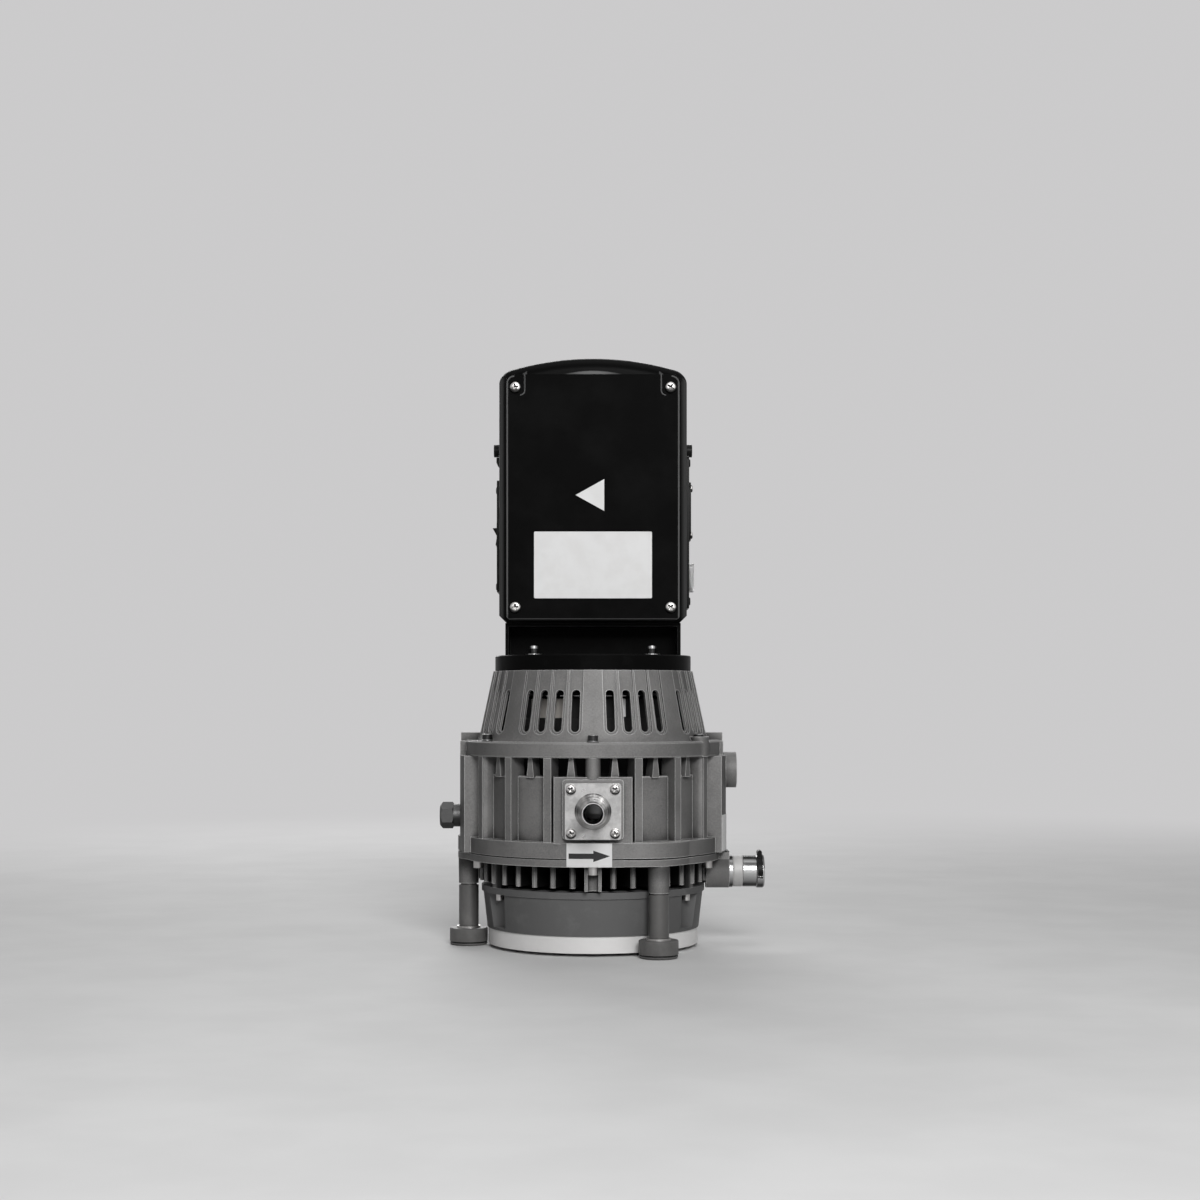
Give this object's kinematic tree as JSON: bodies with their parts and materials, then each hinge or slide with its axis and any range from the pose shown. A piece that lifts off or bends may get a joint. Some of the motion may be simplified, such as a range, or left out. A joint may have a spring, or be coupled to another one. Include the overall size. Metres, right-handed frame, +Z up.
{
  "type": "scroll vacuum pump",
  "caption": "Upright dry scroll vacuum pump on rubber feet, with a finned scroll stage, side inlet and exhaust ports, a slotted motor cover and a tall control box.",
  "frame": {"origin": "on the floor plane under the pump's own axis, midway between the three feet", "axes": "+Z up along the motor axis; -Y towards the inlet nozzle and the lid of the control box; +X towards the exhaust coupling"},
  "size_m": [0.2816, 0.2627, 0.5055],
  "materials": {
    "feet_rubber": "matt moulded rubber",
    "zinc": "bright zinc plating",
    "plug_steel": "dark plated steel",
    "screw_black": "blackened steel with a bright washer",
    "motor_dark": "dark coated casting",
    "leg_paint": "fine dark grey paint",
    "cover_paint": "smooth dark grey paint",
    "cast_grey": "grey coated casting, slightly rough",
    "pale_metal": "pale satin aluminium",
    "bright_metal": "polished plating",
    "bearing_steel": "ground steel",
    "shaft_steel": "turned steel",
    "core_iron": "stacked iron sheets",
    "copper": "varnished copper wire",
    "scroll_alloy": "machined aluminium",
    "seal_white": "white sliding plastic",
    "seal_black": "black rubber",
    "black_plastic": "black plastic",
    "box_black": "satin black powder coat",
    "lid_black": "black plastic, soft gloss",
    "label_white": "white film",
    "capacitor_shell": "drawn aluminium can",
    "contact_brass": "tinned brass",
    "button_red": "red plastic",
    "fan_white": "white plastic",
    "boot_clear": "clear soft plastic, a little cloudy"
  },
  "bodies": {
    "pump": {"rubber_feet": "feet_rubber", "foot_fasteners": "zinc", "leg_posts": "leg_paint", "base_grille": "pale_metal", "base_cover": "cover_paint", "stage_screws": "zinc", "base_fan_motor": "black_plastic", "fixed_scroll": "cast_grey", "fixed_tip_seal": "seal_white", "guide_bearings_upper": "bearing_steel", "shaft_seal": "seal_black", "main_bearing": "bearing_steel", "stator_core": "core_iron", "stator_windings": "copper", "motor_end_shield": "motor_dark", "rear_bearing": "bearing_steel", "motor_tie_bolts": "motor_dark", "pump_housing": "cast_grey", "inlet_gasket": "seal_black", "inlet_flange": "pale_metal", "inlet_screws": "zinc", "ballast_plug": "plug_steel", "housing_stickers": "label_white", "exhaust_collar": "pale_metal", "exhaust_coupling": "bright_metal", "motor_cover": "cast_grey", "cover_bolts": "screw_black", "top_plate": "box_black", "box_bracket": "box_black", "bracket_screws": "screw_black", "box_shell": "box_black", "lid_gasket": "seal_black", "box_lid": "lid_black", "lid_labels": "label_white", "box_screws": "zinc", "box_side_screws": "black_plastic", "run_capacitor": "capacitor_shell", "capacitor_clamp": "zinc", "terminal_block": "fan_white", "side_panels": "black_plastic", "switch_body": "black_plastic", "power_inlet": "black_plastic", "inlet_contacts": "contact_brass", "breaker_body": "black_plastic", "breaker_boot": "boot_clear"},
    "rotor": {"crankshaft": "shaft_steel", "counterweight": "core_iron", "rotor_core": "core_iron", "motor_fan": "motor_dark"},
    "orbiter": {"orbiting_scroll": "scroll_alloy", "orbiting_tip_seal": "seal_white", "crank_bearing": "bearing_steel", "guide_bearings_lower": "bearing_steel"},
    "guide_1": {"guide_crank_1": "shaft_steel"},
    "guide_2": {"guide_crank_2": "shaft_steel"},
    "guide_3": {"guide_crank_3": "shaft_steel"},
    "cooling_fan": {"base_fan": "black_plastic"},
    "rocker": {"power_rocker": "black_plastic"},
    "button": {"breaker_button": "button_red"},
    "latch": {"coupling_latch": "black_plastic"}
  },
  "joints": [
    {"name": "shaft_spin", "type": "hinge", "parent": "pump", "child": "rotor", "pos_m": [0, 0, 0], "axis": [0, 0, 1], "continuous": true},
    {"name": "scroll_orbit", "type": "hinge", "parent": "rotor", "child": "orbiter", "pos_m": [0.005, 0, 0.137], "axis": [0, 0, 1], "continuous": true},
    {"name": "guide_1_turn", "type": "hinge", "parent": "pump", "child": "guide_1", "pos_m": [0.032, 0.05543, 0.136], "axis": [0, 0, 1], "continuous": true},
    {"name": "guide_2_turn", "type": "hinge", "parent": "pump", "child": "guide_2", "pos_m": [-0.064, 0, 0.136], "axis": [0, 0, 1], "continuous": true},
    {"name": "guide_3_turn", "type": "hinge", "parent": "pump", "child": "guide_3", "pos_m": [0.032, -0.05543, 0.136], "axis": [0, 0, 1], "continuous": true},
    {"name": "base_fan_spin", "type": "hinge", "parent": "pump", "child": "cooling_fan", "pos_m": [0, 0, 0.02], "axis": [0, 0, 1], "continuous": true},
    {"name": "rocker_tilt", "type": "hinge", "parent": "pump", "child": "rocker", "pos_m": [-0.0796, 0, 0.3563], "axis": [0, 1, 0], "range_deg": [0, 20]},
    {"name": "button_press", "type": "slide", "parent": "pump", "child": "button", "axis": [1, 0, 0], "range_m": [-0.0025, 0], "stiffness_N_per_m": 400},
    {"name": "latch_press", "type": "slide", "parent": "pump", "child": "latch", "axis": [0, 0, 1], "range_m": [-0.002, 0], "stiffness_N_per_m": 500}
  ],
  "couplings": [
    {"joint": "scroll_orbit", "follows": "shaft_spin", "ratio": -1},
    {"joint": "guide_1_turn", "follows": "shaft_spin", "ratio": 1},
    {"joint": "guide_2_turn", "follows": "shaft_spin", "ratio": 1},
    {"joint": "guide_3_turn", "follows": "shaft_spin", "ratio": 1}
  ]
}
